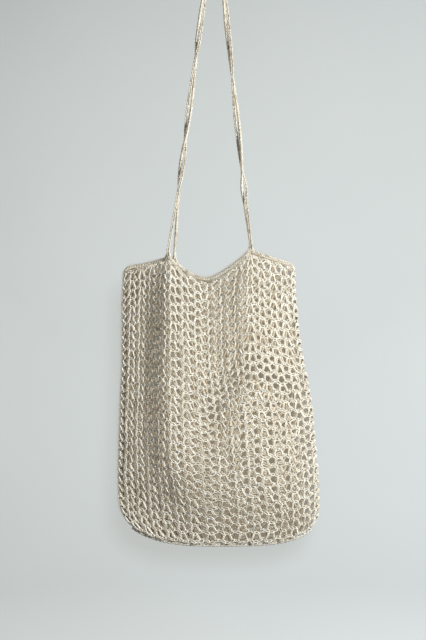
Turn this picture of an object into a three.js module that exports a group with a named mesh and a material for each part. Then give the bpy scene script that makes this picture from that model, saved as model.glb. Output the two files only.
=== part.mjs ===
// A crocheted cotton tote bag, hanging empty by its two cord straps.
//
// Millimetres, +Z up, +X to the right and +Y to the back as seen from the front of the bag.
// The origin is the hang point: the top of the peg, under the bend of both straps.
//
// The body is a sack worked in the round. A place on it is given by its panel, front or back,
// by "across", from 0 at the left side fold to 1 at the right one, and by "up", from 0 at the
// bottom seam to 1 at the mouth.

import * as THREE from 'three';

const { clamp, degToRad, lerp, smoothstep } = THREE.MathUtils;

// Driving sizes
const GAP = 0.5; // between pieces that are crocheted onto each other
const WALL = 2.8; // thickness of the crocheted fabric
const SIDE_FOLD_HALF_DEPTH = 3; // the fabric turns round this at the side folds
const SIDE_FOLD_SHARE = 0.02; // of the panel's width that the turn takes
const SEAM_HALF_DEPTH = 1.9; // where the two panels meet at the bottom
const OPENING_SHARE = 0.26; // of the panel's height over which the panels part above the seam
const EDGING = { height: 4.6, thickness: 3.8 };
const SEAM_DIAMETER = 3.2;
const STRAP_DIAMETER = 3.8;
const STRAP_FOOT_DIAMETER = 5.6; // where a strap spreads into the rim
const PEG_RADIUS = 9.5;
const STRAP_SPACING = 4.6; // between the centre lines of the two straps where they touch
const STRAP_PARTING = { share: 0.6, length: 40 }; // how they part above the place where they split

// Outline of the body, as it hangs. The corners are superellipses below cornerTop.
const OUTLINE = { cornerTop: -673, bottom: -740, leftPower: 2.6, rightPower: 3.6 };
const CORNER_UP = 0.12; // the height share at which the corners begin

// Where columns of stitches run at five places across, X by height share
const ACROSS = [0, 0.295, 0.53, 0.73, 1];
const SECTIONS = [
  { up: 0.0, left: -123.5, leftFold: -50, valley: 11, rightFold: 63, right: 136 },
  { up: 0.12, left: -123.5, leftFold: -53, valley: 9, rightFold: 60, right: 136 },
  { up: 0.22, left: -124, leftFold: -57, valley: 6, rightFold: 55, right: 133.5 },
  { up: 0.37, left: -123, leftFold: -60, valley: 3, rightFold: 51, right: 129.5 },
  { up: 0.49, left: -121.5, leftFold: -60.5, valley: 1, rightFold: 49, right: 125.5 },
  { up: 0.64, left: -119.5, leftFold: -60, valley: -1, rightFold: 48, right: 116.5 },
  { up: 0.76, left: -119, leftFold: -59.5, valley: -3, rightFold: 47, right: 109.5 },
  { up: 0.87, left: -119, leftFold: -59.5, valley: -4, rightFold: 46.5, right: 106.5 },
  { up: 1.0, left: -117.5, leftFold: -59.3, valley: -5, rightFold: 47, right: 104.5 },
];

// Folds of each panel: where they run across, how softly they turn (a share of the width), and
// how far they stand out from the plane of the side folds at four heights
const FOLD_HEIGHTS = [0.15, 0.42, 0.72, 1];
const FRONT_FOLDS = [
  { name: 'left hollow', at: 0.17, foot: 0.22, soft: 0.03, low: 9, middle: 9, high: 8, rim: 5 },
  { name: 'left ridge', at: 0.295, foot: 0.39, soft: 0.02, low: 19, middle: 25, high: 25, rim: 18 },
  { name: 'valley', at: 0.53, foot: 0.6, soft: 0.05, low: 18, middle: 14, high: 9, rim: 5 },
  { name: 'right ridge', at: 0.7, foot: 0.77, soft: 0.04, low: 17, middle: 22, high: 24, rim: 17 },
];
const BACK_FOLDS = [
  { name: 'left ridge', at: 0.32, foot: 0.32, soft: 0.05, low: 9, middle: 12, high: 13, rim: 12 },
  { name: 'valley', at: 0.53, foot: 0.53, soft: 0.08, low: 9, middle: 10, high: 8, rim: 6 },
  { name: 'right ridge', at: 0.73, foot: 0.73, soft: 0.05, low: 9, middle: 12, high: 13, rim: 12 },
];
const FOLDS_MOVE_BELOW = 0.4; // the height share under which a fold heads for its foot

// The rim hangs in three spans between the side folds and the two strap joints
const JOINTS = {
  front: { left: 0.295, right: 0.73 },
  back: { left: 0.328, right: 0.735 },
};
const RIM_SPANS = [
  { name: 'left', start: -376, end: -363, sag: 2 },
  { name: 'middle', start: -363, end: -353.6, sag: 32 },
  { name: 'right', start: -353.6, end: -373, sag: 1.5 },
];
const RIM_SAG_POWER = 1.35; // straighter than an arc towards the ends of a span
const RIM_CORNERS = { leftDrop: 6.5, rightDrop: 4.5, share: 0.05 }; // rounded off at the side folds
const BACK_RIM_DROP = 4; // the back rim hangs this much lower at its middle

// How many times the corners' height a side fold is tall
const CORNER_HEIGHT = OUTLINE.cornerTop - OUTLINE.bottom;
const CORNER_DROP = (RIM_SPANS[0].start - OUTLINE.cornerTop) / (1 - CORNER_UP) / CORNER_HEIGHT;

const GATHER = { pull: 100, width: 0.07, reach: 0.1 }; // columns drawn together under a strap

// The two straps run together as a pair, each leg a straight line, and wind round each other.
// "turn" is the direction in degrees, seen from above, of the front strap from the pair's middle.
const LEGS = {
  left: {
    top: { x: -11.4, z: -PEG_RADIUS },
    split: { x: -46.2, z: -277 },
    twist: [
      { z: -277, turn: 270 },
      { z: -244, turn: 345 },
      { z: -212, turn: 450 },
      { z: -190, turn: 515 },
      { z: -155, turn: 560 },
      { z: -104, turn: 630 },
      { z: -86, turn: 690 },
      { z: -32, turn: 768 },
      { z: -PEG_RADIUS, turn: 810 },
    ],
  },
  right: {
    top: { x: 11.4, z: -PEG_RADIUS },
    split: { x: 40.8, z: -296 },
    twist: [
      { z: -296, turn: 290 },
      { z: -280, turn: 345 },
      { z: -250, turn: 450 },
      { z: -189, turn: 540 },
      { z: -131, turn: 630 },
      { z: -62, turn: 720 },
      { z: -PEG_RADIUS, turn: 810 },
    ],
  },
};

// Directions
const UP = new THREE.Vector3(0, 0, 1);
const TO_FRONT = new THREE.Vector3(0, -1, 0);

// Fineness of the meshes
const BODY_ROWS = 22;
const BODY_COLUMNS = 27;
const FOLD_PLACES = [0, 0.12, 0.45]; // shares of a side fold's turn
const SEAM_FROM = 2; // the column of the body, from each side fold, where the seam begins
const TUBE_SIDES = 8;
const LEG_POINTS = 14;
const PEG_POINTS = 6;
const STEPS_BETWEEN_POINTS = 2;
const FOOT_SHARES = [0.12, 0.35, 0.68]; // of the way from a strap's foot to where the pair splits

// Smooth curve through a table's values, with no overshoot between them
function curveThrough(xs, ys, x) {
  const last = xs.length - 1;
  const slope = (k) => (ys[k + 1] - ys[k]) / (xs[k + 1] - xs[k]);
  const tangent = (k) => {
    if (k === 0) return slope(0);
    if (k === last) return slope(last - 1);
    const before = slope(k - 1);
    const after = slope(k);
    return before * after <= 0 ? 0 : (2 * before * after) / (before + after);
  };
  let k = 0;
  while (k < last - 1 && x > xs[k + 1]) k += 1;
  const width = xs[k + 1] - xs[k];
  const u = clamp((x - xs[k]) / width, 0, 1);
  const rise = u * u * (3 - 2 * u);
  const leave = u * (1 - u) * (1 - u) * width * tangent(k);
  const arrive = u * u * (1 - u) * width * tangent(k + 1);
  return lerp(ys[k], ys[k + 1], rise) + leave - arrive;
}

// Straight flanks between folds, with each fold turned softly; zero at both side folds
function foldedDepth(folds, across, up) {
  const toFoot = 1 - smoothstep(up, 0, FOLDS_MOVE_BELOW);
  const corners = [{ place: 0, depth: 0 }];
  for (const fold of folds) {
    const depths = [fold.low, fold.middle, fold.high, fold.rim];
    corners.push({
      place: lerp(fold.at, fold.foot, toFoot),
      depth: curveThrough(FOLD_HEIGHTS, depths, up),
      soft: fold.soft,
    });
  }
  corners.push({ place: 1, depth: 0 });
  const slope = (k) =>
    (corners[k + 1].depth - corners[k].depth) / (corners[k + 1].place - corners[k].place);
  const bent = (place) => {
    let depth = slope(0) * place;
    for (let k = 1; k < corners.length - 1; k += 1) {
      const past = place - corners[k].place;
      depth += ((slope(k) - slope(k - 1)) * (past + Math.hypot(past, corners[k].soft))) / 2;
    }
    return depth;
  };
  return bent(across) - lerp(bent(0), bent(1), across);
}

function rimHeight(panel, across) {
  const ends = [0, JOINTS[panel].left, JOINTS[panel].right, 1];
  const k = across <= ends[1] ? 0 : across <= ends[2] ? 1 : 2;
  const span = RIM_SPANS[k];
  const along = (across - ends[k]) / (ends[k + 1] - ends[k]);
  const { leftDrop, rightDrop, share } = RIM_CORNERS;
  const leftCorner = leftDrop * Math.max(0, 1 - across / share) ** 2;
  const rightCorner = rightDrop * Math.max(0, 1 - (1 - across) / share) ** 2;
  const sag = span.sag * Math.max(0, Math.sin(Math.PI * along)) ** RIM_SAG_POWER;
  const front = lerp(span.start, span.end, along) - sag - leftCorner - rightCorner;
  return panel === 'front' ? front : front - BACK_RIM_DROP * Math.sin(Math.PI * across);
}

// X of a column of stitches, with the rounded bottom corners and the gathers under the straps
function columnX(panel, across, up) {
  const heights = SECTIONS.map((row) => row.up);
  const places = ['left', 'leftFold', 'valley', 'rightFold', 'right'].map((name) =>
    curveThrough(heights, SECTIONS.map((row) => row[name]), up),
  );
  let x = curveThrough(ACROSS, places, across);
  const power = x < 0 ? OUTLINE.leftPower : OUTLINE.rightPower;
  const cornerShare = Math.max(0, CORNER_UP - up) * CORNER_DROP;
  x *= (1 - cornerShare ** power) ** (1 / power);
  for (const joint of Object.values(JOINTS[panel])) {
    const away = across - joint;
    const near = Math.exp(-((away / GATHER.width) ** 2) - (1 - up) / GATHER.reach);
    x -= GATHER.pull * away * near;
  }
  return x;
}

function bottomHeight(x) {
  const { left, right } = SECTIONS[0];
  const power = x < 0 ? OUTLINE.leftPower : OUTLINE.rightPower;
  const reach = x < 0 ? x / left : x / right;
  return OUTLINE.cornerTop - CORNER_HEIGHT * (1 - reach ** power) ** (1 / power);
}

// A point on the middle of the fabric
function fabricPoint(panel, across, up) {
  const x = columnX(panel, across, up);
  const foot = bottomHeight(columnX(panel, across, 0)) + SEAM_DIAMETER + GAP;
  const top = rimHeight(panel, across) - EDGING.height - GAP;
  const fromFold = Math.min(1, Math.min(across, 1 - across) / SIDE_FOLD_SHARE);
  const turn = Math.sqrt(1 - (1 - fromFold) ** 2);
  const open = smoothstep(up, 0, OPENING_SHARE);
  const folds = panel === 'front' ? FRONT_FOLDS : BACK_FOLDS;
  const half = turn * lerp(SEAM_HALF_DEPTH, SIDE_FOLD_HALF_DEPTH, open);
  const depth = half + open * foldedDepth(folds, across, up);
  return new THREE.Vector3(x, panel === 'front' ? -depth : depth, lerp(foot, top, up));
}

// A closed solid through rings of equally many points. An open row of rings is capped by joining
// each ring's two halves.
function loft(rings, closed) {
  const sides = rings[0].length;
  const positions = rings.flat().flatMap((point) => point.toArray());
  const triangles = [];
  const quad = (a, b, c, d) => triangles.push(a, b, c, a, c, d);
  const spans = closed ? rings.length : rings.length - 1;
  for (let row = 0; row < spans; row += 1) {
    const here = row * sides;
    const next = ((row + 1) % rings.length) * sides;
    for (let side = 0; side < sides; side += 1) {
      const beside = (side + 1) % sides;
      quad(here + side, here + beside, next + beside, next + side);
    }
  }
  const cap = (start, flip) => {
    const half = sides / 2;
    const add = (a, b, c) => {
      const [second, third] = flip ? [c, b] : [b, c];
      triangles.push(start + a, start + second, start + third);
    };
    for (let side = 0; side < half; side += 1) {
      const far = (sides - side) % sides;
      if (side > 0) add(side, far, side + 1);
      if (side < half - 1) add(side + 1, far, sides - side - 1);
    }
  };
  if (!closed) {
    cap(0, false);
    cap((rings.length - 1) * sides, true);
  }
  const geometry = new THREE.BufferGeometry();
  geometry.setAttribute('position', new THREE.Float32BufferAttribute(positions, 3));
  geometry.setIndex(enclosedVolume(positions, triangles) < 0 ? triangles.reverse() : triangles);
  geometry.computeVertexNormals();
  return geometry;
}

function enclosedVolume(positions, triangles) {
  const corner = (index) => new THREE.Vector3().fromArray(positions, index * 3);
  let volume = 0;
  for (let k = 0; k < triangles.length; k += 3) {
    const [a, b, c] = triangles.slice(k, k + 3).map(corner);
    volume += a.dot(b.cross(c)) / 6;
  }
  return volume;
}

// Points round a section, with flat sides towards both of its directions
function sectionRing(middle, first, second, firstRadius, secondRadius) {
  const toCorner = 1 / Math.cos(Math.PI / TUBE_SIDES);
  const points = [];
  for (let side = 0; side < TUBE_SIDES; side += 1) {
    const angle = (2 * Math.PI * (side + 0.5)) / TUBE_SIDES;
    points.push(
      middle
        .clone()
        .addScaledVector(first, firstRadius * toCorner * Math.cos(angle))
        .addScaledVector(second, secondRadius * toCorner * Math.sin(angle)),
    );
  }
  return points;
}

// A round tube along points, with a radius for each distance from its nearer end
function tube(points, radiusAt) {
  const last = points.length - 1;
  const along = [0];
  for (let k = 1; k <= last; k += 1) {
    along.push(along[k - 1] + points[k].distanceTo(points[k - 1]));
  }
  const normal = TO_FRONT.clone();
  const rings = points.map((point, k) => {
    const before = points[Math.max(k - 1, 0)];
    const after = points[Math.min(k + 1, last)];
    const heading = after.clone().sub(before).normalize();
    normal.projectOnPlane(heading).normalize();
    const radius = radiusAt(Math.min(along[k], along[last] - along[k]));
    return sectionRing(point, normal, heading.clone().cross(normal), radius, radius);
  });
  return loft(rings, false);
}

// Places round the mouth: along the front to the right, then along the back to the left, with
// more of them where the fabric turns at the side folds.
function placesRound() {
  const turn = FOLD_PLACES.map((share) => share * SIDE_FOLD_SHARE);
  const across = [...turn];
  for (let k = 0; k <= BODY_COLUMNS; k += 1) {
    across.push(lerp(SIDE_FOLD_SHARE, 1 - SIDE_FOLD_SHARE, k / BODY_COLUMNS));
  }
  across.push(...turn.map((share) => 1 - share).reverse());
  const front = across.map((place) => ({ panel: 'front', place }));
  const back = across.slice(1, -1).map((place) => ({ panel: 'back', place }));
  return [...front, ...back.reverse()];
}

// Directions out of the fabric at each point of a grid of rings
function outwardDirections(grid) {
  return grid.map((ring, row) =>
    ring.map((point, column) => {
      const right = ring[(column + 1) % ring.length];
      const left = ring[(column + ring.length - 1) % ring.length];
      const above = grid[Math.min(row + 1, grid.length - 1)][column];
      const below = grid[Math.max(row - 1, 0)][column];
      const around = right.clone().sub(left);
      return around.cross(above.clone().sub(below)).normalize();
    }),
  );
}

const ROUND = placesRound();

function bodyGrid(startUp) {
  const grid = [];
  for (let row = 0; row <= BODY_ROWS; row += 1) {
    const up = lerp(startUp, 1, row / BODY_ROWS);
    grid.push(ROUND.map(({ panel, place }) => fabricPoint(panel, place, up)));
  }
  return grid;
}

function offsetGrid(grid, distance) {
  const outward = outwardDirections(grid);
  return grid.map((ring, row) =>
    ring.map((point, column) => point.clone().addScaledVector(outward[row][column], distance)),
  );
}

function makeBody() {
  const bodyHeight = RIM_SPANS[0].start - OUTLINE.bottom;
  const outside = offsetGrid(bodyGrid(0), WALL / 2);
  const inside = offsetGrid(bodyGrid(WALL / bodyHeight), -WALL / 2);
  return loft([...outside, ...inside.reverse()], false);
}

function makeRimEdging() {
  const grid = bodyGrid(0);
  const rim = grid[BODY_ROWS];
  const outward = outwardDirections(grid)[BODY_ROWS];
  const middleRise = GAP + EDGING.height / 2;
  const rings = rim.map((point, column) => {
    const upward = UP.clone().projectOnPlane(outward[column]).normalize();
    const middle = point.clone().addScaledVector(upward, middleRise);
    return sectionRing(middle, outward[column], upward, EDGING.thickness / 2, EDGING.height / 2);
  });
  return loft(rings, true);
}

// The seam keeps a small gap under the body all along, square to the body's lower edge
function makeBottomSeam() {
  const lowest = offsetGrid(bodyGrid(0), WALL / 2)[0];
  const edge = lowest.slice(0, ROUND.length / 2 + 1).map((front, column) => {
    const back = lowest[(ROUND.length - column) % ROUND.length];
    return new THREE.Vector3(front.x, 0, Math.min(front.z, back.z));
  });
  const radius = SEAM_DIAMETER / 2;
  const rings = [];
  for (let column = SEAM_FROM; column < edge.length - SEAM_FROM; column += 1) {
    const down = edge[column + 1].clone().sub(edge[column - 1]).cross(TO_FRONT).normalize();
    const middle = edge[column].clone().addScaledVector(down, GAP + radius);
    rings.push(sectionRing(middle, down, TO_FRONT, radius, radius));
  }
  return loft(rings, false);
}

// Points of one leg of a strap, from where the pair splits up to the peg
function legPoints(leg, side) {
  const { top, split, twist } = leg;
  const heights = twist.map((row) => row.z);
  const turns = twist.map((row) => row.turn);
  const points = [];
  for (let k = 0; k < LEG_POINTS; k += 1) {
    const z = lerp(split.z, top.z, k / LEG_POINTS);
    const middleX = lerp(split.x, top.x, k / LEG_POINTS);
    const turn = degToRad(curveThrough(heights, turns, z));
    const parting = 1 - smoothstep(z, split.z, split.z + STRAP_PARTING.length);
    const away = ((side * STRAP_SPACING) / 2) * (1 + STRAP_PARTING.share * parting);
    points.push(new THREE.Vector3(middleX + away * Math.cos(turn), away * Math.sin(turn), z));
  }
  return points;
}

// Points from a strap's seat on the rim towards the place where the pair splits
function footPoints(panel, across, split) {
  const rim = fabricPoint(panel, across, 1);
  const seat = new THREE.Vector3(rim.x, rim.y, rimHeight(panel, across) + GAP);
  const above = seat.clone().setZ(seat.z + STRAP_FOOT_DIAMETER);
  const onTheWay = FOOT_SHARES.map((share) => above.clone().lerp(split, share));
  return [seat, above, ...onTheWay];
}

function makeStrap(panel) {
  const side = panel === 'front' ? 1 : -1;
  const bendRadius = LEGS.right.top.x;
  const overPeg = [];
  for (let k = 0; k <= PEG_POINTS; k += 1) {
    const angle = Math.PI * (1 - k / PEG_POINTS);
    const x = bendRadius * Math.cos(angle);
    const z = -PEG_RADIUS + bendRadius * Math.sin(angle);
    overPeg.push(new THREE.Vector3(x, (side * STRAP_SPACING) / 2, z));
  }
  const left = legPoints(LEGS.left, side);
  const right = legPoints(LEGS.right, side);
  const route = [
    ...footPoints(panel, JOINTS[panel].left, left[0]),
    ...left,
    ...overPeg,
    ...[...footPoints(panel, JOINTS[panel].right, right[0]), ...right].reverse(),
  ];
  const footLength = 3 * STRAP_FOOT_DIAMETER;
  const radiusAt = (fromEnd) => {
    const spread = 1 - smoothstep(fromEnd, 0, footLength);
    return lerp(STRAP_DIAMETER, STRAP_FOOT_DIAMETER, spread) / 2;
  };
  const steps = STEPS_BETWEEN_POINTS * (route.length - 1);
  return tube(new THREE.CatmullRomCurve3(route).getPoints(steps), radiusAt);
}

// The assembly
const COTTON = { color: 0xdcd3be, roughness: 0.9, metalness: 0 };

function piece(name, geometry) {
  const mesh = new THREE.Mesh(geometry, new THREE.MeshStandardMaterial(COTTON));
  mesh.name = name;
  return mesh;
}

const bag = new THREE.Group();
bag.add(piece('bag_body', makeBody()));
bag.add(piece('rim_edging', makeRimEdging()));
bag.add(piece('bottom_seam', makeBottomSeam()));
bag.add(piece('strap_front', makeStrap('front')));
bag.add(piece('strap_back', makeStrap('back')));

export default bag;
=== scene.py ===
"""A crocheted cotton tote bag that hangs by its two cord straps.

Every stitch is yarn, swept along paths on the same folded fabric as the frame's solids. Lengths
are in millimetres until a mesh is made, which is in metres. A place on the fabric is "around",
from 0 to 1 along the front and from 1 to 2 along the back to the start, and "up", from 0 at the
bottom seam to 1 at the mouth. On one panel, "across" is 0 at the left side fold and 1 at the right.
"""

import math
from collections import namedtuple

import bpy
import numpy as np
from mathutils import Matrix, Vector


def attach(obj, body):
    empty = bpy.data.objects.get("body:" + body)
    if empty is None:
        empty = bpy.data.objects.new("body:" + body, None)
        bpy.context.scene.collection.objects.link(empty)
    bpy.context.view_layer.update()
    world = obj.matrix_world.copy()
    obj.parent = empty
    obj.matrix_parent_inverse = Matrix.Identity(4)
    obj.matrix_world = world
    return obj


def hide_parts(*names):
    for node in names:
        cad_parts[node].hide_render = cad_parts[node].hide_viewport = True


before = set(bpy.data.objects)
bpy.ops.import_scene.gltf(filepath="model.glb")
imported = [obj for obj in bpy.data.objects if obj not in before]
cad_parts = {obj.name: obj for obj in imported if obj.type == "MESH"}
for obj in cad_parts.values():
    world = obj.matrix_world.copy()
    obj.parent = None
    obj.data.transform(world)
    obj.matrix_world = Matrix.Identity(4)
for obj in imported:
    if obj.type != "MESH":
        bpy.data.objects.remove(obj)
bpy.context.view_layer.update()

MM = 0.001

# Driving sizes of the fabric, as in the frame
GAP = 0.5
SIDE_FOLD_HALF_DEPTH = 3
SIDE_FOLD_SHARE = 0.02
SEAM_HALF_DEPTH = 1.9
OPENING_SHARE = 0.26
EDGING_HEIGHT = 4.6
SEAM_DIAMETER = 3.2
STRAP_FOOT_DIAMETER = 5.6
PEG_RADIUS = 9.5
STRAP_SPACING = 4.6
STRAP_PARTING = {"share": 0.6, "length": 40}  # how much wider the pair is at its split, and how far up

# Outline of the body, as it hangs
CORNER_TOP = -673
BOTTOM = -740
LEFT_POWER = 2.6
RIGHT_POWER = 3.6
CORNER_UP = 0.12

# Where columns of stitches run at five places across, X by height share
ACROSS = [0, 0.295, 0.53, 0.73, 1]
SECTIONS = [
    # up, left side fold, left ridge, valley, right ridge, right side fold
    (0.00, -123.5, -50.0, 11, 63.0, 136.0),
    (0.12, -123.5, -53.0, 9, 60.0, 136.0),
    (0.22, -124.0, -57.0, 6, 55.0, 133.5),
    (0.37, -123.0, -60.0, 3, 51.0, 129.5),
    (0.49, -121.5, -60.5, 1, 49.0, 125.5),
    (0.64, -119.5, -60.0, -1, 48.0, 116.5),
    (0.76, -119.0, -59.5, -3, 47.0, 109.5),
    (0.87, -119.0, -59.5, -4, 46.5, 106.5),
    (1.00, -117.5, -59.3, -5, 47.0, 104.5),
]

# Folds: place across, place at the foot, softness, and depth at each of FOLD_HEIGHTS
Fold = namedtuple("Fold", "at foot soft depths")
FOLD_HEIGHTS = [0.15, 0.42, 0.72, 1]
FOLDS_MOVE_BELOW = 0.4
FOLDS = {
    "front": [
        Fold(0.170, 0.22, 0.030, [9, 9, 8, 5]),
        Fold(0.295, 0.39, 0.020, [19, 25, 25, 18]),
        Fold(0.530, 0.60, 0.050, [18, 14, 9, 5]),
        Fold(0.700, 0.77, 0.040, [17, 22, 24, 17]),
    ],
    "back": [
        Fold(0.320, 0.32, 0.050, [9, 12, 13, 12]),
        Fold(0.530, 0.53, 0.080, [9, 10, 8, 6]),
        Fold(0.730, 0.73, 0.050, [9, 12, 13, 12]),
    ],
}

# The rim hangs in three spans between the side folds and the two strap joints
JOINTS = {"front": (0.295, 0.73), "back": (0.328, 0.735)}
RIM_START = [-376, -363, -353.6]
RIM_END = [-363, -353.6, -373]
RIM_SAG = [2, 32, 1.5]
RIM_SAG_POWER = 1.35  # straighter than an arc towards the ends of a span
RIM_CORNER_DROP = {"left": 6.5, "right": 4.5}
RIM_CORNER_SHARE = 0.05
BACK_RIM_DROP = 4
CORNER_HEIGHT = CORNER_TOP - BOTTOM
# The height of the body's left side, counted in corner heights
CORNER_DROP = (RIM_START[0] - CORNER_TOP) / (1 - CORNER_UP) / CORNER_HEIGHT
# How a strap's joint draws the columns beside it together: width is a share across, reach a share up
GATHER = {"pull": 100, "width": 0.07, "reach": 0.1}

# The two straps as a pair: each leg's line, and how the front strap turns round the pair's middle
Leg = namedtuple("Leg", "top_x split_x split_z heights turns")
LEGS = {
    "left": Leg(
        -11.4, -46.2, -277,
        [-277, -244, -212, -190, -155, -104, -86, -32, -PEG_RADIUS],
        [270, 345, 450, 515, 560, 630, 690, 768, 810],
    ),
    "right": Leg(
        11.4, 40.8, -296,
        [-296, -280, -250, -189, -131, -62, -PEG_RADIUS],
        [290, 345, 450, 540, 630, 720, 810],
    ),
}
LEG_POINTS = 14
PEG_POINTS = 6
FOOT_SHARES = [0.12, 0.35, 0.68]  # of the way from a strap's foot to where the pair splits

# The crochet: V-stitches worked from the mouth down
REPEATS = 15  # across one panel
ROWS = 30
BANDS = {"lower": (0, 10), "middle": (10, 20), "upper": (20, ROWS)}  # pieces of a panel
REPEAT_WIDTH = 19.5
ROW_HEIGHT = 11.4
BELOW_FIRST_ROW = 0.27  # of a row's height, taken by the links under the lowest row's line
ABOVE_LAST_ROW = 0.36
ALL_ROWS = BELOW_FIRST_ROW + ROWS + ABOVE_LAST_ROW
PATTERN_START = 0.875  # of a repeat, from the left side fold to the middle of the first V
# Low on the front, columns beyond a place across lean to the right
LEAN = {"from": 0.4, "share": 0.05, "starts_up": 0.7, "full_up": 0.4}
YARN_RADIUS = 1.0
YARN_TAPER = 0.7  # of the radius, at the two ends of an open strand
SIDES = 6
PLIES = 3
PLY_DEPTH = 0.10  # how far the plies stand out, as a share of the yarn's radius
PLY_TURN = math.radians(36)  # from one ring of the yarn's surface to the next
LINK_ANGLES = np.radians(np.arange(0, 360, 45))  # of the points of a closed loop

# One repeat, in millimetres: across from its middle, up from its row's line, out of the fabric
Link = namedtuple("Link", "across up out half_length half_height tilt swing")
LINKS = [
    Link(-5.6, 0.0, 0.6, 3.3, 1.55, -32, 0.5),
    Link(0.0, -1.8, 0.4, 3.0, 1.45, 0, 0.4),
    Link(5.6, 0.0, 0.6, 3.3, 1.55, 32, 0.5),
    Link(9.75, 1.5, 0.2, 2.7, 1.35, 0, 0.4),
]
POST = [
    # across, up, out
    (6.3, 0.0, -0.9),
    (5.7, 2.2, 0.2),
    (4.9, 4.3, 0.6),
    (4.1, 6.3, 0.8),
    (3.4, 8.2, 0.5),
    (2.9, 10.0, -0.5),
]
POST_POINTS = 7
# Strands of a post: how far to its side at its foot and at its top, how far out, and its tone, where a
# low tone is painted shade
PostStrand = namedtuple("PostStrand", "foot top out tone")
POST_STRANDS = [
    PostStrand(-0.7, -0.8, 0.4, 0),
    PostStrand(0.7, 0.8, 0.4, 0),
    # Painted shade: the strand inside the fabric, behind the two on its face, is coloured brown
    PostStrand(0, 0, -1.0, -3.5),
]
POST_TURN = {"start": -25, "end": 15}
POST_YARN = 1.0
JITTER = {"place": 0.5, "tilt": 12, "size": 0.08, "turn": 12, "chain_tilt": 6}

# Slow unevenness of the hand work: waves across and up each panel, and their size
Drift = namedtuple("Drift", "across up phase across_mm up_mm")
DRIFTS = [
    Drift(5, 7, 0.0, 0.4, 0.5),
    Drift(-8, 5, 1.9, 0.3, 0.5),
    Drift(12, -11, 4.1, 0.3, 0.4),
]

# The chains of the rim's edging and of the closing seam
EDGING_ROWS = [(1.1, 26), (3.4, -26)]  # height over the body and tilt of the rim's two chains
EDGING_LINK = {"pitch": 3.4, "half_length": 2.2, "half_height": 0.45, "swing": 0.5}
EDGING_YARN = 0.66
RIM_SAMPLES = 1200
SEAM_ENDS = (0.02, 0.98)  # across
SEAM_LINK = {"pitch": 4.9, "half_length": 3.0, "half_height": 1.05, "swing": 0.5}
SEAM_TILT = 10
SEAM_YARN = 0.95
SEAM_SAMPLES = 400
# Painted shade: the chains of the rim's edging and of the seam are coloured darker and warmer than the
# body's face
CHAIN_SHADE_TONE = -0.9  # a little darker than the face of the body, whose tone is 0

# A strap's chain. Each link has two legs, one the mirror of the other, and a back.
CORD_PITCH = 5.0
CORD_YARN = 0.95
# Painted shade: the straps' cords and foot strands are coloured tan, darker than the body's face
CORD_SHADE_TONE = -1.5
CORD_LEG = [
    # along, to the side, out
    (-0.9, 0.25, -0.5),
    (0.8, 0.85, 0.35),
    (2.8, 1.05, 0.75),
    (4.6, 0.80, 0.60),
    (5.6, 0.30, -0.1),
]
CORD_BACK = [
    # along, to the side, out
    (-0.5, -0.30, -1.00),
    (1.5, -0.20, -1.25),
    (3.5, 0.20, -1.25),
    (5.5, 0.30, -1.00),
]
ROUTE_STEPS = 12  # between points of a strap's route
FOOT_LENGTH = 3 * STRAP_FOOT_DIAMETER
FOOT_SPREAD = 0.45
# Strands from a strap's foot to the rim: reach along the rim, height up the strap
FOOT_STRANDS = [(-9, 12), (-5, 9), (5, 9), (9, 12)]
FOOT_STRAND_POINTS = 8
FOOT_STRAND_BEND = 0.3  # where a strand bends, as a share of the way from the foot to its landing
FOOT_YARN = 0.95

# A strand's patch of the texture map: its tube, and the two ends of an open strand beside it
PATCH_WIDTH = 2  # times its height
TUBE_CORNER = np.array([0.1, 0.05])
TUBE_SIZE = np.array([0.8, 0.9])
END_CORNER = np.array([0.0, 0.05])
END_SIZE = np.array([0.07, 0.9])
TO_OTHER_END = np.array([0.93, 0])
END_QUADS = np.array([[0, 1, 2, 3], [0, 3, 4, 5]])  # close a strand's end, which has six corners

# Looks of the yarn: a ramp from painted shade, brown for strands deep inside, up to the cream of those
# on the face
YARN_COLOURS = [
    # place on the ramp, colour
    (0.00, (0.49, 0.415, 0.31, 1)),
    (0.20, (0.68, 0.615, 0.50, 1)),
    (0.75, (0.80, 0.755, 0.655, 1)),
]
TONE_WEIGHT = 0.16  # how far a strand's tone moves it along the ramp
YARN_ROUGHNESS = {"least": 0.78, "most": 0.98}
YARN_BUMP = {"strength": 0.35, "distance": 0.0003}
YARN_SPECULAR = 0.25
YARN_SHEEN = {"weight": 0.25, "roughness": 0.45}

# Stage, in metres: a round room, whose floor bends up into its wall
STAGE_COLOURS = [(0, (0.68, 0.71, 0.70, 1)), (1, (0.71, 0.74, 0.73, 1))]
STAGE_ROUGHNESS = 0.9
FLOOR_Z = -2.0  # below the hang point
ROOM_RADIUS = 3.4
ROOM_STEPS = 96
BEND_RADIUS = 0.5
BEND_STEPS = 12
WALL_TOP_Z = 3.0

# The flag, a form inside the bag that shades the room
FLAG_COLUMNS = 48
FLAG_ROWS = 24
FLAG_DEPTH_SHARE = 0.4  # of the bag's own depth

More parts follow.
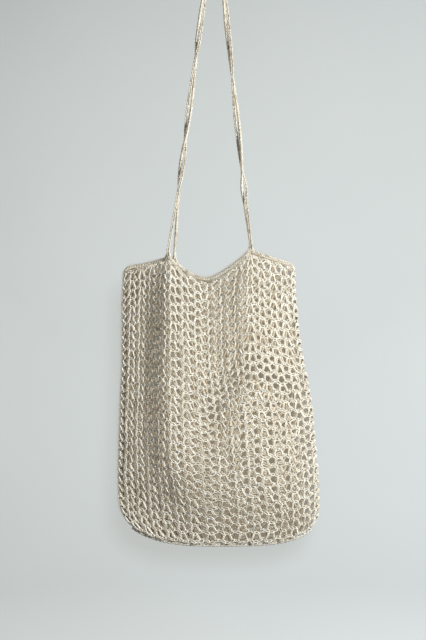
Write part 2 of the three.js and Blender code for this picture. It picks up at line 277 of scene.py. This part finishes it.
# Lamps, each for a part of the scene alone, in metres and watts. A beam, in degrees, makes a spot.
# The two shade lamps stand near the camera and cast the flag's shadow on the wall behind the bag.
Lamp = namedtuple("Lamp", "name lights place aim size power colour beam")
BAG_MIDDLE = (0, 0, -0.5)
SHADE_AIM = (1.35, 3.05, -0.4)
LAMPS = [
    Lamp("key", "front", (1.78, -1.21, 0.25), BAG_MIDDLE, 0.4, 80, (0.96, 0.99, 1.0), None),
    Lamp("fill", "front", (-1.70, -2.43, -0.08), BAG_MIDDLE, 1.2, 17, (0.97, 0.99, 1.0), None),
    Lamp("inside", "back", (0.45, -0.70, -0.46), (0.115, 0, -0.53), 0.1, 30, (1.0, 0.98, 0.92), 33),
    Lamp("rear", "bag", (0.55, 1.95, 1.05), BAG_MIDDLE, 0.5, 80, (1.0, 1.0, 1.0), None),
    Lamp("left_rear", "bag", (-2.18, 1.26, 0.17), BAG_MIDDLE, 1.5, 45, (1.0, 1.0, 1.0), None),
    Lamp("shade_core", "stage", (0.0, -1.62, -0.446), SHADE_AIM, 0.008, 585, (0.77, 0.89, 1.0), 100),
    Lamp("shade_edge", "stage", (0.017, -1.62, -0.408), SHADE_AIM, 0.05, 182, (0.77, 0.89, 1.0), 100),
    Lamp("wall", "stage", (2.0, -2.2, 0.6), (0.2, 3.4, -0.7), 1.0, 490, (1.0, 0.79, 0.55), 64),
    Lamp("surround", "stage", (0, 2.6, 2.4), (0, -2.25, 1.15), 1.0, 480, (1.0, 1.0, 1.0), None),
]
BEAM_SOFTNESS = 1.0
SKY_COLOUR = (1.0, 0.92, 0.82, 1)
SKY_STRENGTH = 0.04

# Camera, in metres, level and square to the bag
CAMERA_PLACE = (-0.00156, -1.62, -0.4459)
VIEW_HEIGHT = 0.832  # at the hang point's distance
SENSOR = 36.0

Strands = namedtuple("Strands", "rings closed tones")  # many at once, with equally many points
Track = namedtuple("Track", "points outs length")  # a line to lay stitches along

rng = np.random.default_rng(seed=5)


# Curves and surfaces


def lerp(start, end, share):
    return start + (end - start) * share


def ease(share):
    return share * share * (3 - 2 * share)


def smoothstep(x, low, high):
    return ease(np.clip((x - low) / (high - low), 0, 1))


def cubic(start, end, leave, arrive, share):
    """A curve from start to end, which leaves and arrives by the two tangents."""
    bend = share * (1 - share) ** 2 * leave - share * share * (1 - share) * arrive
    return lerp(start, end, ease(share)) + bend


def unit(vectors):
    return vectors / np.linalg.norm(vectors, axis=-1, keepdims=True)


def curve_through(xs, ys, x):
    """A smooth curve through a table's values, with no overshoot between them.

    ys has a row for each of xs, with one value or one for each x.
    """
    xs = np.asarray(xs, float)
    ys = np.asarray(ys, float).reshape(len(xs), -1)
    ys = np.broadcast_to(ys, (len(xs), x.size))
    widths = np.diff(xs)
    slopes = np.diff(ys, axis=0) / widths[:, None]
    before, after = slopes[:-1], slopes[1:]
    onward = before * after > 0
    inner = np.where(onward, 2 * before * after / np.where(onward, before + after, 1), 0)
    tangents = np.vstack([slopes[:1], inner, slopes[-1:]])
    k = np.searchsorted(xs[1:-1], x)
    each = np.arange(x.size)
    share = np.clip((x - xs[k]) / widths[k], 0, 1)
    leave, arrive = widths[k] * tangents[k, each], widths[k] * tangents[k + 1, each]
    return cubic(ys[k, each], ys[k + 1, each], leave, arrive, share)


def folded_depth(folds, across, up):
    """Straight flanks between folds, with each fold turned softly; zero at both side folds."""
    to_foot = 1 - smoothstep(up, 0, FOLDS_MOVE_BELOW)
    places = [0 * up] + [lerp(fold.at, fold.foot, to_foot) for fold in folds] + [1 + 0 * up]
    depths = [curve_through(FOLD_HEIGHTS, fold.depths, up) for fold in folds]
    depths = [0 * up] + depths + [0 * up]
    slopes = np.diff(depths, axis=0) / np.diff(places, axis=0)

    def bent(place):
        depth = slopes[0] * place
        for k, fold in enumerate(folds):
            past = place - places[k + 1]
            depth = depth + (slopes[k + 1] - slopes[k]) * (past + np.hypot(past, fold.soft)) / 2
        return depth

    return bent(across) - lerp(bent(0), bent(1), across)


def rim_height(panel, across):
    """Z of the top of the edging."""
    ends = np.array([0, *JOINTS[panel], 1])
    span = np.searchsorted(ends[1:-1], across)
    along = (across - ends[span]) / (ends[span + 1] - ends[span])
    height = lerp(np.take(RIM_START, span), np.take(RIM_END, span), along)
    height = height - np.take(RIM_SAG, span) * np.maximum(0, np.sin(np.pi * along)) ** RIM_SAG_POWER
    from_left = np.maximum(0, 1 - across / RIM_CORNER_SHARE)
    from_right = np.maximum(0, 1 - (1 - across) / RIM_CORNER_SHARE)
    height = height - RIM_CORNER_DROP["left"] * from_left**2
    height = height - RIM_CORNER_DROP["right"] * from_right**2
    if panel == "back":
        height = height - BACK_RIM_DROP * np.sin(np.pi * across)
    return height


def column_x(panel, across, up):
    """X of a column of stitches, with rounded bottom corners and gathers under the straps."""
    table = np.array(SECTIONS)
    places = [curve_through(table[:, 0], table[:, k], up) for k in range(1, table.shape[1])]
    x = curve_through(ACROSS, places, across)
    power = np.where(x < 0, LEFT_POWER, RIGHT_POWER)
    share = np.maximum(0, CORNER_UP - up) * CORNER_DROP
    x = x * (1 - share**power) ** (1 / power)
    for joint in JOINTS[panel]:
        away = across - joint
        near = np.exp(-((away / GATHER["width"]) ** 2) - (1 - up) / GATHER["reach"])
        x = x - GATHER["pull"] * away * near
    return x


def bottom_height(x):
    """Z of the bottom's outline, with its two rounded corners."""
    power = np.where(x < 0, LEFT_POWER, RIGHT_POWER)
    reach = np.where(x < 0, x / SECTIONS[0][1], x / SECTIONS[0][-1])
    return CORNER_TOP - CORNER_HEIGHT * (1 - reach**power) ** (1 / power)


def panel_point(panel, across, up):
    x = column_x(panel, across, up)
    foot = bottom_height(column_x(panel, across, 0 * up)) + SEAM_DIAMETER + GAP
    top = rim_height(panel, across) - EDGING_HEIGHT - GAP
    from_fold = np.minimum(1, np.minimum(across, 1 - across) / SIDE_FOLD_SHARE)
    turn = np.sqrt(1 - (1 - from_fold) ** 2)
    opening = smoothstep(up, 0, OPENING_SHARE)
    half = turn * lerp(SEAM_HALF_DEPTH, SIDE_FOLD_HALF_DEPTH, opening)
    depth = half + opening * folded_depth(FOLDS[panel], across, up)
    y = -depth if panel == "front" else depth
    return np.stack([x, y, lerp(foot, top, up)], axis=-1)


def fabric_point(around, up):
    """Points on the middle of the fabric."""
    around, up = np.broadcast_arrays(np.mod(around, 2), up)
    shape = around.shape
    around, up = around.ravel(), np.asarray(up, float).ravel()
    front = panel_point("front", np.clip(around, 0, 1), up)
    back = panel_point("back", np.clip(2 - around, 0, 1), up)
    return np.where((around < 1)[:, None], front, back).reshape(*shape, 3)


def fabric_frame(around, up, step=0.002):
    """Points on the fabric, and the directions out of it."""
    along = fabric_point(around + step, up) - fabric_point(around - step, up)
    rise = fabric_point(around, up + step) - fabric_point(around, up - step)
    return fabric_point(around, up), unit(np.cross(along, rise))


# Yarn


def sweep(paths, out, radius, closed=False, tone=0):
    """Plied yarn along many paths at once.

    paths holds strands of equally many points, and out a direction across each point's path.
    """
    if closed:
        ahead, behind = np.roll(paths, -1, axis=1), np.roll(paths, 1, axis=1)
    else:
        ahead = np.concatenate([paths[:, 1:], paths[:, -1:]], axis=1)
        behind = np.concatenate([paths[:, :1], paths[:, :-1]], axis=1)
    heading = unit(ahead - behind)
    side = unit(np.cross(heading, out))
    face = np.cross(side, heading)
    corner = 2 * np.pi * np.arange(SIDES) / SIDES
    angle = corner + PLY_TURN * np.arange(paths.shape[1])[:, None]
    reach = 1 + PLY_DEPTH * np.cos(PLIES * corner)
    radius = np.broadcast_to(radius, paths.shape[:2])[:, :, None, None]
    turned = np.cos(angle)[..., None] * face[:, :, None] + np.sin(angle)[..., None] * side[:, :, None]
    rings = paths[:, :, None] + radius * reach[:, None] * turned
    return Strands(rings, closed, rng.normal(tone, 1, len(paths)))


def tapered(radius, count):
    """A radius for each point, smaller at a strand's two ends."""
    radii = radius * np.ones(count)
    radii[[0, -1]] *= YARN_TAPER
    return radii


def strand_quads(strands):
    """Quads of corner numbers, and each corner's place on its own strand's patch of the map."""
    count, points, sides = strands.rings.shape[:3]
    spans = points if strands.closed else points - 1
    span, side = np.meshgrid(np.arange(spans), np.arange(sides), indexing="ij")
    span, side = span.ravel(), side.ravel()
    beyond, beside = span + 1, side + 1
    spots = [(span, side), (span, beside), (beyond, beside), (beyond, side)]
    quads = np.stack([(k % points) * sides + j % sides for k, j in spots], axis=-1)
    tube = np.stack([np.stack([k / spans, j / sides], axis=-1) for k, j in spots], axis=1)
    places = TUBE_CORNER + tube * TUBE_SIZE
    if not strands.closed:
        turn = 2 * np.pi * END_QUADS / sides
        disc = (1 + np.stack([np.cos(turn), np.sin(turn)], axis=-1)) / 2
        disc = END_CORNER + disc * END_SIZE
        last = (points - 1) * sides
        quads = np.concatenate([quads, END_QUADS[:, ::-1], END_QUADS + last])
        places = np.concatenate([places, disc[:, ::-1], disc + TO_OTHER_END])
    each = np.arange(count) * points * sides
    return quads[None] + each[:, None, None], np.broadcast_to(places, (count, *places.shape))


def joined(groups):
    """Points, quads of their numbers, places on the map and tones of all the strands in the groups."""
    total = sum(len(group.rings) for group in groups)
    columns = math.ceil(math.sqrt(total / PATCH_WIDTH))
    rows = math.ceil(total / columns)
    points, quads, spots, tones = [], [], [], []
    first_strand = first_point = 0
    for group in groups:
        count = len(group.rings)
        group_quads, places = strand_quads(group)
        number = first_strand + np.arange(count)
        corner = np.stack([number % columns, number // columns], axis=-1)
        patches = (places + corner[:, None, None]) / np.array([columns, rows])
        spots.append(patches.reshape(-1, 2))
        quads.append((group_quads + first_point).reshape(-1, 4))
        points.append(group.rings.reshape(-1, 3))
        tones.append(np.repeat(group.tones, len(points[-1]) // count))
        first_strand += count
        first_point += len(points[-1])
    return [np.concatenate(parts) for parts in (points, quads, spots, tones)]


def yarn_mesh(name, groups, material):
    points, quads, spots, tones = joined(groups)
    mesh = bpy.data.meshes.new(name)
    mesh.vertices.add(len(points))
    mesh.vertices.foreach_set("co", (points * MM).ravel())
    mesh.loops.add(quads.size)
    mesh.loops.foreach_set("vertex_index", quads.ravel())
    mesh.polygons.add(len(quads))
    mesh.polygons.foreach_set("loop_start", np.arange(0, quads.size, 4))
    mesh.polygons.foreach_set("loop_total", np.full(len(quads), 4))
    mesh.update(calc_edges=True)
    mesh.shade_smooth()
    mesh.uv_layers.new(name="OFBake").data.foreach_set("uv", spots.ravel())
    tone = mesh.attributes.new("tone", "FLOAT", "POINT")
    tone.data.foreach_set("value", tones)
    mesh.materials.append(material)
    return mesh


def make_piece(name, node, groups, material):
    """One mesh of all the strands in the groups, which stands for a node of the frame."""
    piece = bpy.data.objects.new(name, yarn_mesh(name, groups, material))
    bpy.context.scene.collection.objects.link(piece)
    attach(piece, "root")
    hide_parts(node)
    return piece


# Stitches of the body


def on_fabric(column, row, across, up, out):
    """Points of stitches, from millimetres within a repeat, and the directions out of the fabric."""
    around = (column + PATTERN_START + across / REPEAT_WIDTH) / REPEATS
    up = (BELOW_FIRST_ROW + row + up / ROW_HEIGHT) / ALL_ROWS
    past = np.clip((around - LEAN["from"]) / (1 - LEAN["from"]), 0, 1)
    low = 1 - smoothstep(up, LEAN["full_up"], LEAN["starts_up"])
    around = around + LEAN["share"] * np.sin(np.pi * past) * low
    to_right = np.where(np.mod(around, 2) < 1, 1, -1)
    for drift in DRIFTS:
        from_left = np.abs(np.mod(around + 1, 2) - 1)
        wave = np.sin(np.pi * (drift.across * from_left + drift.up * up) + drift.phase)
        around = around + to_right * drift.across_mm * wave / (REPEAT_WIDTH * REPEATS)
        up = up + drift.up_mm * wave * np.sin(np.pi * up) / (ROW_HEIGHT * ALL_ROWS)
    points, outward = fabric_frame(around, up)
    return points + outward * out[..., None], outward


def repeats(columns, rows):
    """The column and row of each repeat in a block, ready to spread over the points of a path."""
    column, row = np.meshgrid(columns, rows, indexing="ij")
    return column.reshape(-1, 1), row.reshape(-1, 1)


def jitter(count, spread):
    return rng.normal(0, spread, (count, 1))


def tilted_loop(half_length, half_height, tilt):
    """Places of a closed loop's points along and to the side, from the loop's middle."""
    long, high = half_length * np.cos(LINK_ANGLES), half_height * np.sin(LINK_ANGLES)
    return long * np.cos(tilt) - high * np.sin(tilt), long * np.sin(tilt) + high * np.cos(tilt)


def link_path(link, count):
    """Closed loops, as a link of chain seen from its side: one end in front, one end behind."""
    tilt = np.radians(link.tilt + jitter(count, JITTER["tilt"]))
    size = 1 + jitter(count, JITTER["size"])
    along, aside = tilted_loop(size * link.half_length, size * link.half_height, tilt)
    across = link.across + jitter(count, JITTER["place"]) + along
    up = link.up + jitter(count, JITTER["place"]) + aside
    out = link.out + link.swing * np.cos(LINK_ANGLES) + 0 * tilt
    return across, up, out


def link_strands(columns, rows):
    groups = []
    column, row = repeats(columns, rows)
    for link in LINKS:
        points, outward = on_fabric(column, row, *link_path(link, len(column)))
        groups.append(sweep(points, outward, YARN_RADIUS, closed=True))
    return groups


def resampled(table, count):
    """Equally spaced steps along a short table of points."""
    table = np.array(table)
    spaced = np.linspace(0, len(table) - 1, count)
    return [curve_through(np.arange(len(table)), table[:, k], spaced) for k in range(3)]


def post_strands(columns, rows):
    """The two posts of each V: strands side by side, with a little twist."""
    groups = []
    column, row = repeats(columns, rows)
    across, up, out = resampled(POST, POST_POINTS)
    twist = np.linspace(POST_TURN["start"], POST_TURN["end"], POST_POINTS)
    for side in (-1, 1):
        lean = jitter(len(column), JITTER["place"])
        turn = np.radians(twist + jitter(len(column), JITTER["turn"]))
        for strand in POST_STRANDS:
            away = side * np.linspace(strand.foot, strand.top, POST_POINTS)
            aside = away * np.cos(turn) - strand.out * np.sin(turn)
            depth = away * np.sin(turn) + strand.out * np.cos(turn)
            path = (side * across + aside + lean, up + 0 * lean, out + depth)
            points, outward = on_fabric(column, row, *path)
            radius = tapered(POST_YARN, POST_POINTS)
            groups.append(sweep(points, outward, radius, tone=strand.tone))
    return groups


def make_body(material):
    """Three bands of stitches on each panel. The front has the repeats on both side folds."""
    panels = {"front": np.arange(-1, REPEATS), "back": np.arange(REPEATS, 2 * REPEATS - 1)}
    pieces = []
    for panel, columns in panels.items():
        for band, (first, beyond) in BANDS.items():
            rows = np.arange(first, beyond)
            # The top band also has the line of links right under the edging
            lines = np.append(rows, ROWS) if beyond == ROWS else rows
            groups = link_strands(columns, lines) + post_strands(columns, rows)
            pieces.append(make_piece(f"{panel}_stitches_{band}", "bag_body", groups, material))
    return pieces


# Chains along the rim, the seam and the straps


def make_track(points, outs):
    """A line to lay stitches along, measured from its start."""
    steps = np.linalg.norm(np.diff(points, axis=0), axis=1)
    return Track(points, outs, np.concatenate([[0], np.cumsum(steps)]))


def on_track(track, along, aside, out):
    """Points at distances along a track, moved to its side and outwards."""

    def read(values):
        return np.stack([np.interp(along, track.length, values[:, k]) for k in range(3)], axis=-1)

    heading = unit(np.gradient(track.points, axis=0))
    outward = unit(read(track.outs))
    sideways = unit(np.cross(outward, read(heading)))
    return read(track.points) + sideways * aside[..., None] + outward * out[..., None], outward


def chain_of_links(track, link, tilt, radius, closed):
    """Loops of chain along a track, each one leaning into the next."""
    total = track.length[-1]
    count = round(total / link["pitch"])
    pitch = total / count
    start = pitch * (np.arange(count)[:, None] + 0.5)
    tilt = np.radians(tilt + jitter(count, JITTER["chain_tilt"]))
    along, aside = tilted_loop(link["half_length"], link["half_height"], tilt)
    along = start + along
    along = np.mod(along, total) if closed else np.clip(along, 0, total)
    out = link["swing"] * np.cos(LINK_ANGLES) + 0 * start
    points, outward = on_track(track, along, aside, out)
    return sweep(points, outward, radius, closed=True, tone=CHAIN_SHADE_TONE)


def make_rim_edging(material):
    around = np.linspace(0, 2, RIM_SAMPLES)
    points, outs = fabric_frame(around, 1 + 0 * around)
    up = np.array([0, 0, 1.0])
    upward = unit(up - outs * (outs @ up)[:, None])
    groups = []
    for height, tilt in EDGING_ROWS:
        track = make_track(points + upward * (GAP + height), outs)
        groups.append(chain_of_links(track, EDGING_LINK, tilt, EDGING_YARN, closed=True))
    return make_piece("rim_edging_stitches", "rim_edging", groups, material)


def make_bottom_seam(material):
    across = np.linspace(*SEAM_ENDS, SEAM_SAMPLES)
    points = fabric_point(across, 0 * across)
    points[:, 1] = 0
    to_front = np.array([0, -1.0, 0])
    down = unit(np.cross(np.gradient(points, axis=0), to_front))
    points = points + down * (GAP + SEAM_DIAMETER / 2)
    track = make_track(points, np.broadcast_to(to_front, points.shape))
    groups = [chain_of_links(track, SEAM_LINK, SEAM_TILT, SEAM_YARN, closed=False)]
    return make_piece("bottom_seam_stitches", "bottom_seam", groups, material)


def leg_points(leg, side):
    """Points of one leg of a strap, from where the pair splits up to the peg."""
    share = np.arange(LEG_POINTS) / LEG_POINTS
    z = lerp(leg.split_z, -PEG_RADIUS, share)
    turn = np.radians(curve_through(leg.heights, leg.turns, z))
    parting = 1 - smoothstep(z, leg.split_z, leg.split_z + STRAP_PARTING["length"])
    away = side * STRAP_SPACING / 2 * (1 + STRAP_PARTING["share"] * parting)
    x = lerp(leg.split_x, leg.top_x, share) + away * np.cos(turn)
    return np.stack([x, away * np.sin(turn), z], axis=-1)


def foot_points(panel, across, split):
    """Points from a strap's seat on the rim towards the place where the pair splits."""
    across = np.array([across])
    seat = panel_point(panel, across, np.ones(1))[0]
    seat[2] = rim_height(panel, across)[0] + GAP
    above = seat + np.array([0, 0, STRAP_FOOT_DIAMETER])
    return np.array([seat, above] + [lerp(above, split, share) for share in FOOT_SHARES])


def strap_route(panel):
    """Points of a strap, from its left foot over the peg to its right foot."""
    side = 1 if panel == "front" else -1
    bend = LEGS["right"].top_x
    angle = np.pi * (1 - np.arange(PEG_POINTS + 1) / PEG_POINTS)
    y = np.full(angle.shape, side * STRAP_SPACING / 2)
    over_peg = np.stack([bend * np.cos(angle), y, -PEG_RADIUS + bend * np.sin(angle)], axis=-1)
    left, right = leg_points(LEGS["left"], side), leg_points(LEGS["right"], side)
    left_foot = foot_points(panel, JOINTS[panel][0], left[0])
    right_foot = foot_points(panel, JOINTS[panel][1], right[0])
    return np.concatenate([left_foot, left, over_peg, right[::-1], right_foot[::-1]])


def smooth_line(points, steps):
    """A smooth line through points, with so many steps from each to the next."""
    gaps = np.linalg.norm(np.diff(points, axis=0), axis=1) ** 0.5
    knots = np.concatenate([[0], np.cumsum(gaps)])
    tangents = np.gradient(points, knots, axis=0)
    share = np.arange(steps)[:, None] / steps
    spans = []
    for k in range(len(points) - 1):
        leave, arrive = gaps[k] * tangents[k], gaps[k] * tangents[k + 1]
        spans.append(cubic(points[k], points[k + 1], leave, arrive, share))
    return np.concatenate(spans + [points[-1:]])


def strap_track(panel):
    """A strap's line, with a direction out of it that is carried along without a twist."""
    points = smooth_line(strap_route(panel), ROUTE_STEPS)
    heading = unit(np.gradient(points, axis=0))
    outs = np.zeros_like(points)
    out = np.array([0, -1.0 if panel == "front" else 1.0, 0])
    for k, way in enumerate(heading):
        out = unit(out - way * (out @ way))
        outs[k] = out
    return make_track(points, outs)


def cord_strands(track):
    """A chain of links along a strap, wider at its two feet."""
    total = track.length[-1]
    count = round(total / CORD_PITCH)
    start = total / count * np.arange(count)[:, None]
    groups = []
    for table, sides in ((CORD_LEG, (-1, 1)), (CORD_BACK, (1,))):
        along, aside, out = np.array(table).T
        for side in sides:
            reach = np.clip(start + along, 0, total)
            from_end = np.minimum(reach, total - reach)
            wider = 1 + FOOT_SPREAD * (1 - smoothstep(from_end, 0, FOOT_LENGTH))
            points, outward = on_track(track, reach, side * aside * wider, out * wider)
            groups.append(sweep(points, outward, tapered(CORD_YARN, len(table)), tone=CORD_SHADE_TONE))
    return groups


def foot_strands(panel, track):
    """Yarn that spreads from the two feet of a strap onto the rim."""
    share = np.linspace(0, 1, FOOT_STRAND_POINTS)[:, None]
    paths, outs = [], []
    for joint, from_start in zip(JOINTS[panel], (True, False)):
        for reach, height in FOOT_STRANDS:
            across = joint + reach / (REPEATS * REPEAT_WIDTH)
            around = across if panel == "front" else 2 - across
            rim, out = fabric_frame(np.array([around]), np.ones(1))
            landing = rim[0] + np.array([0, 0, EDGING_HEIGHT])
            place = height if from_start else track.length[-1] - height
            high = on_track(track, np.array([place]), np.zeros(1), np.zeros(1))[0][0]
            seat = track.points[0 if from_start else -1]
            corner = lerp(seat, landing, FOOT_STRAND_BEND)
            paths.append(lerp(lerp(high, corner, share), lerp(corner, landing, share), share))
            outs.append(np.repeat(out, FOOT_STRAND_POINTS, axis=0))
    radius = tapered(FOOT_YARN, FOOT_STRAND_POINTS)
    return sweep(np.array(paths), np.array(outs), radius, tone=CORD_SHADE_TONE)


def make_strap(panel, material):
    track = strap_track(panel)
    groups = cord_strands(track) + [foot_strands(panel, track)]
    return make_piece(f"strap_{panel}_cord", f"strap_{panel}", groups, material)


# Materials


def new_material(name):
    material = bpy.data.materials.new(name)
    material.use_nodes = True
    nodes = material.node_tree.nodes
    return material, nodes, material.node_tree.links, nodes["Principled BSDF"]


def noise(nodes, links, coordinates, scale, detail):
    texture = nodes.new("ShaderNodeTexNoise")
    texture.inputs["Scale"].default_value = scale
    texture.inputs["Detail"].default_value = detail
    links.new(coordinates, texture.inputs["Vector"])
    return texture.outputs["Fac"]


def set_ramp(ramp, stops):
    elements = ramp.color_ramp.elements
    while len(elements) < len(stops):
        elements.new(1)
    for element, (position, colour) in zip(elements, stops):
        element.position = position
        element.color = colour


def cotton_material():
    """Undyed plied cotton: uneven cream with painted shade in brown and tan on low-toned strands,
    fibrous, matt with a faint sheen.
    """
    material, nodes, links, shader = new_material("cotton_yarn")
    place = nodes.new("ShaderNodeTexCoord").outputs["Object"]
    broad = noise(nodes, links, place, scale=35, detail=3)
    fibres = noise(nodes, links, place, scale=1600, detail=4)
    tone = nodes.new("ShaderNodeAttribute")
    tone.attribute_name = "tone"

    # A strand's tone, random and lowered for painted shade, and a broad unevenness pick its colour on
    # the ramp
    share = nodes.new("ShaderNodeMath")
    share.operation = "MULTIPLY_ADD"
    share.inputs[1].default_value = TONE_WEIGHT
    links.new(tone.outputs["Fac"], share.inputs[0])
    links.new(broad, share.inputs[2])
    colours = nodes.new("ShaderNodeValToRGB")
    set_ramp(colours, YARN_COLOURS)
    links.new(share.outputs[0], colours.inputs["Fac"])
    links.new(colours.outputs["Color"], shader.inputs["Base Color"])

    rough = nodes.new("ShaderNodeMapRange")
    rough.inputs["To Min"].default_value = YARN_ROUGHNESS["least"]
    rough.inputs["To Max"].default_value = YARN_ROUGHNESS["most"]
    links.new(fibres, rough.inputs["Value"])
    links.new(rough.outputs["Result"], shader.inputs["Roughness"])
    bump = nodes.new("ShaderNodeBump")
    bump.inputs["Strength"].default_value = YARN_BUMP["strength"]
    bump.inputs["Distance"].default_value = YARN_BUMP["distance"]
    links.new(fibres, bump.inputs["Height"])
    links.new(bump.outputs["Normal"], shader.inputs["Normal"])
    shader.inputs["Specular IOR Level"].default_value = YARN_SPECULAR
    shader.inputs["Sheen Weight"].default_value = YARN_SHEEN["weight"]
    shader.inputs["Sheen Roughness"].default_value = YARN_SHEEN["roughness"]
    return material


def stage_material():
    """Pale plaster, a little uneven."""
    material, nodes, links, shader = new_material("pale_stage")
    place = nodes.new("ShaderNodeTexCoord").outputs["Object"]
    cloudy = noise(nodes, links, place, scale=2.5, detail=5)
    colours = nodes.new("ShaderNodeValToRGB")
    set_ramp(colours, STAGE_COLOURS)
    links.new(cloudy, colours.inputs["Fac"])
    links.new(colours.outputs["Color"], shader.inputs["Base Color"])
    shader.inputs["Roughness"].default_value = STAGE_ROUGHNESS
    return material


# Stage, light and camera


def ring_faces(rings, columns):
    """Quads between closed rings of points, one ring after the other."""
    faces = []
    for first in range(0, (rings - 1) * columns, columns):
        for k in range(columns):
            here, beside = first + k, first + (k + 1) % columns
            faces.append((here, beside, beside + columns, here + columns))
    return faces


def make_stage():
    """A round pale room, whose floor bends up into its wall far from the bag."""
    angles = np.linspace(0, np.pi / 2, BEND_STEPS + 1)
    radii = ROOM_RADIUS - BEND_RADIUS + BEND_RADIUS * np.sin(angles)
    heights = FLOOR_Z + BEND_RADIUS - BEND_RADIUS * np.cos(angles)
    profile = list(zip(radii, heights)) + [(ROOM_RADIUS, WALL_TOP_Z)]
    turns = 2 * np.pi * np.arange(ROOM_STEPS) / ROOM_STEPS
    points = [(r * math.cos(turn), r * math.sin(turn), z) for r, z in profile for turn in turns]
    inward = [face[::-1] for face in ring_faces(len(profile), ROOM_STEPS)]
    faces = [tuple(range(ROOM_STEPS))] + inward
    mesh = bpy.data.meshes.new("stage")
    mesh.from_pydata(points, [], faces)
    mesh.shade_smooth()
    mesh.materials.append(stage_material())
    stage = bpy.data.objects.new("stage", mesh)
    # The lamps alone light the bag, with nothing thrown back from the room
    stage.visible_diffuse = False
    bpy.context.scene.collection.objects.link(stage)
    return stage


def make_flag():
    """A closed form inside the bag, itself unseen, that shades the room as if the bag had no holes."""
    around = 2 * np.arange(FLAG_COLUMNS) / FLAG_COLUMNS
    up = np.linspace(0, 1, FLAG_ROWS)
    rings = fabric_point(around[None, :], up[:, None])
    rings[..., 1] *= FLAG_DEPTH_SHARE
    rings[-1, :, 2] += EDGING_HEIGHT
    points = rings.reshape(-1, 3) * MM
    faces = ring_faces(FLAG_ROWS, FLAG_COLUMNS)
    # Strips from front to back close its top and its bottom
    top = (FLAG_ROWS - 1) * FLAG_COLUMNS
    for k in range(FLAG_COLUMNS // 2):
        behind, beyond = (FLAG_COLUMNS - k) % FLAG_COLUMNS, FLAG_COLUMNS - k - 1
        lid = list(dict.fromkeys((k, k + 1, beyond, behind)))
        faces.append(tuple(top + corner for corner in lid))
        faces.append(tuple(reversed(lid)))
    mesh = bpy.data.meshes.new("flag")
    mesh.from_pydata([tuple(point) for point in points], [], faces)
    flag = bpy.data.objects.new("flag", mesh)
    flag.visible_camera = flag.visible_diffuse = flag.visible_glossy = False
    flag.visible_transmission = flag.visible_volume_scatter = False
    bpy.context.scene.collection.objects.link(flag)
    return flag


def add_light(lamp, receivers, blockers):
    """A soft lamp, which lights only its receivers, shaded only by its blockers."""
    if lamp.beam:
        bulb = bpy.data.lights.new(lamp.name, "SPOT")
        bulb.shadow_soft_size = lamp.size / 2
        bulb.spot_size = math.radians(lamp.beam)
        bulb.spot_blend = BEAM_SOFTNESS
    else:
        bulb = bpy.data.lights.new(lamp.name, "AREA")
        bulb.shape = "DISK"
        bulb.size = lamp.size
    bulb.energy = lamp.power
    bulb.color = lamp.colour
    light = bpy.data.objects.new(lamp.name, bulb)
    light.location = lamp.place
    way = Vector(lamp.aim) - Vector(lamp.place)
    light.rotation_euler = way.to_track_quat("-Z", "Y").to_euler()
    light.visible_camera = False
    light.light_linking.receiver_collection = receivers
    light.light_linking.blocker_collection = blockers
    bpy.context.scene.collection.objects.link(light)


def collect(name, members):
    group = bpy.data.collections.new(name)
    for member in members:
        group.objects.link(member)
    return group


def make_light(stage, flag, pieces):
    back = [piece for piece in pieces if piece.name.startswith("back")]
    front = [piece for piece in pieces if piece not in back]
    whole, back_alone = collect("whole_bag", pieces), collect("back_alone", back)
    front_alone, stage_alone = collect("front_alone", front), collect("stage_alone", [stage])
    flag_alone = collect("flag_alone", [flag])
    receivers = {"bag": whole, "front": front_alone, "back": back_alone, "stage": stage_alone}
    blockers = {"bag": whole, "front": whole, "back": back_alone, "stage": flag_alone}
    for lamp in LAMPS:
        add_light(lamp, receivers[lamp.lights], blockers[lamp.lights])
    world = bpy.data.worlds.new("soft_room")
    world.use_nodes = True
    sky = world.node_tree.nodes["Background"]
    sky.inputs["Color"].default_value = SKY_COLOUR
    sky.inputs["Strength"].default_value = SKY_STRENGTH
    bpy.context.scene.world = world
    bpy.context.scene.view_settings.view_transform = "Standard"


def make_camera():
    lens = bpy.data.cameras.new("camera")
    lens.sensor_width = SENSOR
    lens.lens = SENSOR * -CAMERA_PLACE[1] / VIEW_HEIGHT
    camera = bpy.data.objects.new("camera", lens)
    camera.location = CAMERA_PLACE
    camera.rotation_euler = (math.pi / 2, 0, 0)
    bpy.context.scene.collection.objects.link(camera)
    bpy.context.scene.camera = camera


make_camera()
cotton = cotton_material()
pieces = make_body(cotton)
pieces.append(make_rim_edging(cotton))
pieces.append(make_bottom_seam(cotton))
pieces.append(make_strap("front", cotton))
pieces.append(make_strap("back", cotton))
make_light(make_stage(), make_flag(), pieces)
